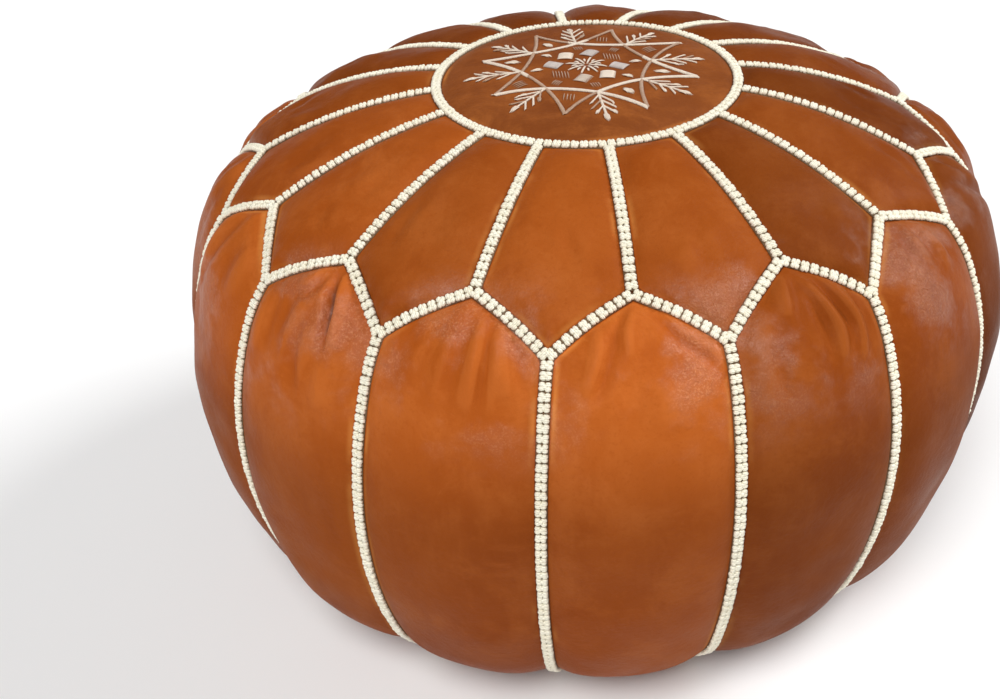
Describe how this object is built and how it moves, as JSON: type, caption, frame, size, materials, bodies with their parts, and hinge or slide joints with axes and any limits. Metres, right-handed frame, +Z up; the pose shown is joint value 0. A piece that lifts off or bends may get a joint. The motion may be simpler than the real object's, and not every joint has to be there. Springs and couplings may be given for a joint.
{
  "type": "leather pouf",
  "caption": "Round stuffed leather floor pouf with petal panels, braided seams, an embroidered medallion and a zipped base.",
  "frame": {"origin": "centre of the base, on the surface that the pouf stands on", "axes": "+Z up, +X along the zip in the base, from its closed end to its open end"},
  "size_m": [0.54, 0.54, 0.3244],
  "materials": {
    "leather": "waxed tan hide",
    "medallion_leather": "darker tan hide",
    "braid_thread": "ivory cord",
    "embroidery_thread": "satin stitch, cream and tan",
    "sewing_thread": "brown waxed thread",
    "zip_tape": "woven tape",
    "zip_metal": "satin",
    "cotton_cloth": "plain weave",
    "cotton_stuffing": "loose fibre"
  },
  "bodies": {
    "cover": {"base_panel_back": "leather", "base_panel_front": "leather", "chevron_braid": "braid_thread", "embroidered_combs": "embroidery_thread", "embroidered_fronds": "embroidery_thread", "embroidered_lozenges": "embroidery_thread", "embroidered_star": "embroidery_thread", "embroidered_sunburst": "embroidery_thread", "medallion_ring_braid": "braid_thread", "radial_braids": "braid_thread", "side_braids": "braid_thread", "side_panel_01": "leather", "side_panel_02": "leather", "side_panel_03": "leather", "side_panel_04": "leather", "side_panel_05": "leather", "side_panel_06": "leather", "side_panel_07": "leather", "side_panel_08": "leather", "side_panel_09": "leather", "side_panel_10": "leather", "side_panel_11": "leather", "side_panel_12": "leather", "side_panel_13": "leather", "side_panel_14": "leather", "side_panel_15": "leather", "side_panel_16": "leather", "stuffing": "cotton_stuffing", "stuffing_bag": "cotton_cloth", "top_medallion": "medallion_leather", "top_petal_01": "leather", "top_petal_02": "leather", "top_petal_03": "leather", "top_petal_04": "leather", "top_petal_05": "leather", "top_petal_06": "leather", "top_petal_07": "leather", "top_petal_08": "leather", "top_petal_09": "leather", "top_petal_10": "leather", "top_petal_11": "leather", "top_petal_12": "leather", "top_petal_13": "leather", "top_petal_14": "leather", "top_petal_15": "leather", "top_petal_16": "leather", "zip_bottom_stop": "zip_metal", "zip_seam_stitches": "sewing_thread", "zip_tape_back": "zip_tape", "zip_tape_front": "zip_tape", "zip_teeth_back": "zip_metal", "zip_teeth_front": "zip_metal", "zip_top_stops": "zip_metal"},
    "slider": {"zip_slider": "zip_metal", "zip_pull_pin": "zip_metal"},
    "pull": {"zip_pull_tab": "zip_metal"}
  },
  "joints": [
    {"name": "zip_slide", "type": "slide", "parent": "cover", "child": "slider", "axis": [1, 0, 0], "range_m": [0, 0.23], "deforming": ["zip_teeth_front", "zip_teeth_back"]},
    {"name": "pull_hinge", "type": "hinge", "parent": "slider", "child": "pull", "pos_m": [-0.12, 0, 0.0022], "axis": [0, 1, 0], "range_deg": [0, 165]}
  ]
}
